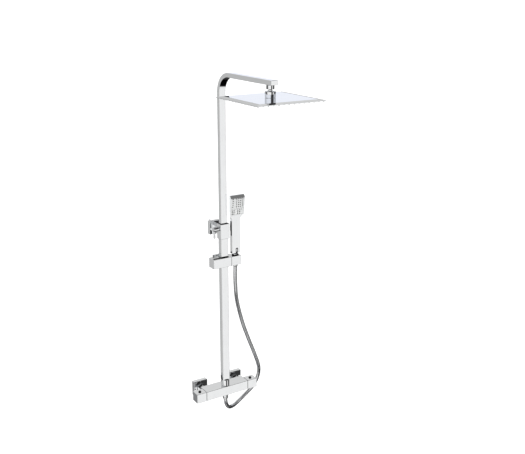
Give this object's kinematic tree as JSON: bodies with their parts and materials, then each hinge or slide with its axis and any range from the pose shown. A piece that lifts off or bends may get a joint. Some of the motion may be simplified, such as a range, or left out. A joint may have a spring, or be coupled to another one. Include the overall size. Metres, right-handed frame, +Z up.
{
  "type": "rainfall shower column",
  "caption": "Square thermostatic shower column: bar valve on two wall inlets, telescopic riser, overhead rain head, and a handset on a slider with a metal hose.",
  "frame": {"origin": "on the wall surface, midway between the centres of the two wall inlets", "axes": "+X to the user's right along the wall, +Y into the wall, +Z up along the riser"},
  "size_m": [0.3145, 0.545, 1.3186],
  "materials": {
    "chrome": "polished chrome plate",
    "steel": "bright steel",
    "brass": "machined brass",
    "black_plastic": "fine satin",
    "grey_plastic": "smooth gloss",
    "rubber": "matt",
    "silicone": "soft matt"
  },
  "bodies": {
    "column": {"valve_body": "chrome", "bottom_outlet_nipple": "chrome", "thermostatic_cartridge": "brass", "diverter_cartridge": "black_plastic", "cartridge_nut_right": "brass", "cartridge_nut_left": "brass", "wall_flange_right": "chrome", "wall_flange_left": "chrome", "eccentric_union_right": "steel", "eccentric_union_left": "steel", "inlet_union_nut_right": "chrome", "inlet_union_nut_left": "chrome", "inlet_filter_washer_right": "rubber", "inlet_filter_washer_left": "rubber", "riser_union_nut": "chrome", "riser_foot_spigot": "brass", "riser_foot_washer": "rubber", "lower_tube": "chrome", "bracket_wall_cover": "chrome", "bracket_neck": "chrome", "bracket_collar": "chrome", "wall_screw_upper": "steel", "wall_screw_lower": "steel", "hose": "steel", "hose_nut_valve_end": "chrome", "hose_washer_valve_end": "rubber"},
    "temperature_knob": {"temperature_knob": "chrome"},
    "temperature_stop": {"temperature_stop_button": "black_plastic"},
    "flow_knob": {"flow_knob": "chrome"},
    "flow_stop": {"flow_stop_button": "black_plastic"},
    "lock_lever": {"height_lock_lever": "chrome"},
    "upper_column": {"upper_tube": "chrome", "arm_end_cap": "chrome", "upper_tube_foot_plug": "black_plastic", "telescope_seal": "rubber", "ball_stem": "chrome"},
    "ball_bearing": {"ball_seat": "black_plastic"},
    "head_collar": {"ball_collar": "chrome"},
    "rain_head": {"head_top_plate": "chrome", "head_face_plate": "steel", "head_nozzle_mat": "silicone", "ball_seal": "rubber"},
    "slider": {"slider_body": "chrome", "slider_guide": "black_plastic", "slider_back_plate": "chrome", "slider_screw_left": "steel", "slider_screw_right": "steel"},
    "holder": {"handset_holder": "chrome"},
    "handset": {"handset_body": "chrome", "handset_face": "grey_plastic", "handset_nozzle_mat": "silicone", "handset_inlet": "black_plastic", "hose_nut_handset_end": "chrome", "hose_washer_handset_end": "rubber"}
  },
  "joints": [
    {"name": "temperature_turn", "type": "hinge", "parent": "column", "child": "temperature_knob", "pos_m": [0.1, -0.076, 0], "axis": [1, 0, 0], "range_deg": [-150, 60]},
    {"name": "temperature_stop_press", "type": "slide", "parent": "temperature_knob", "child": "temperature_stop", "axis": [0, 0, -1], "range_m": [0, 0.0024], "stiffness_N_per_m": 900, "springref_m": -0.0006},
    {"name": "flow_turn", "type": "hinge", "parent": "column", "child": "flow_knob", "pos_m": [-0.1, -0.076, 0], "axis": [1, 0, 0], "range_deg": [-90, 90]},
    {"name": "flow_stop_press", "type": "slide", "parent": "flow_knob", "child": "flow_stop", "axis": [0, 0, -1], "range_m": [0, 0.0024], "stiffness_N_per_m": 900, "springref_m": -0.0006},
    {"name": "lock_lever_turn", "type": "hinge", "parent": "column", "child": "lock_lever", "pos_m": [-0.03, -0.076, 0.645], "axis": [1, 0, 0], "range_deg": [-90, 60]},
    {"name": "column_height", "type": "slide", "parent": "column", "child": "upper_column", "axis": [0, 0, 1], "range_m": [-0.24, 0.15]},
    {"name": "head_tilt_front", "type": "hinge", "parent": "upper_column", "child": "ball_bearing", "pos_m": [0, -0.39, 1.163], "axis": [1, 0, 0], "range_deg": [-10, 10]},
    {"name": "head_tilt_side", "type": "hinge", "parent": "ball_bearing", "child": "head_collar", "pos_m": [0, -0.39, 1.163], "axis": [0, 1, 0], "range_deg": [-10, 10]},
    {"name": "head_swivel", "type": "hinge", "parent": "head_collar", "child": "rain_head", "pos_m": [0, -0.39, 1.163], "axis": [0, 0, 1], "continuous": true},
    {"name": "slider_height", "type": "slide", "parent": "column", "child": "slider", "axis": [0, 0, 1], "range_m": [-0.24, 0.055], "deforming": ["hose"]},
    {"name": "holder_tilt", "type": "hinge", "parent": "slider", "child": "holder", "pos_m": [0.0237, -0.076, 0.5185], "axis": [1, 0, 0], "range_deg": [-5, 30]},
    {"name": "handset_lift", "type": "slide", "parent": "holder", "child": "handset", "axis": [0, 0, 1], "range_m": [0, 0.045]}
  ]
}
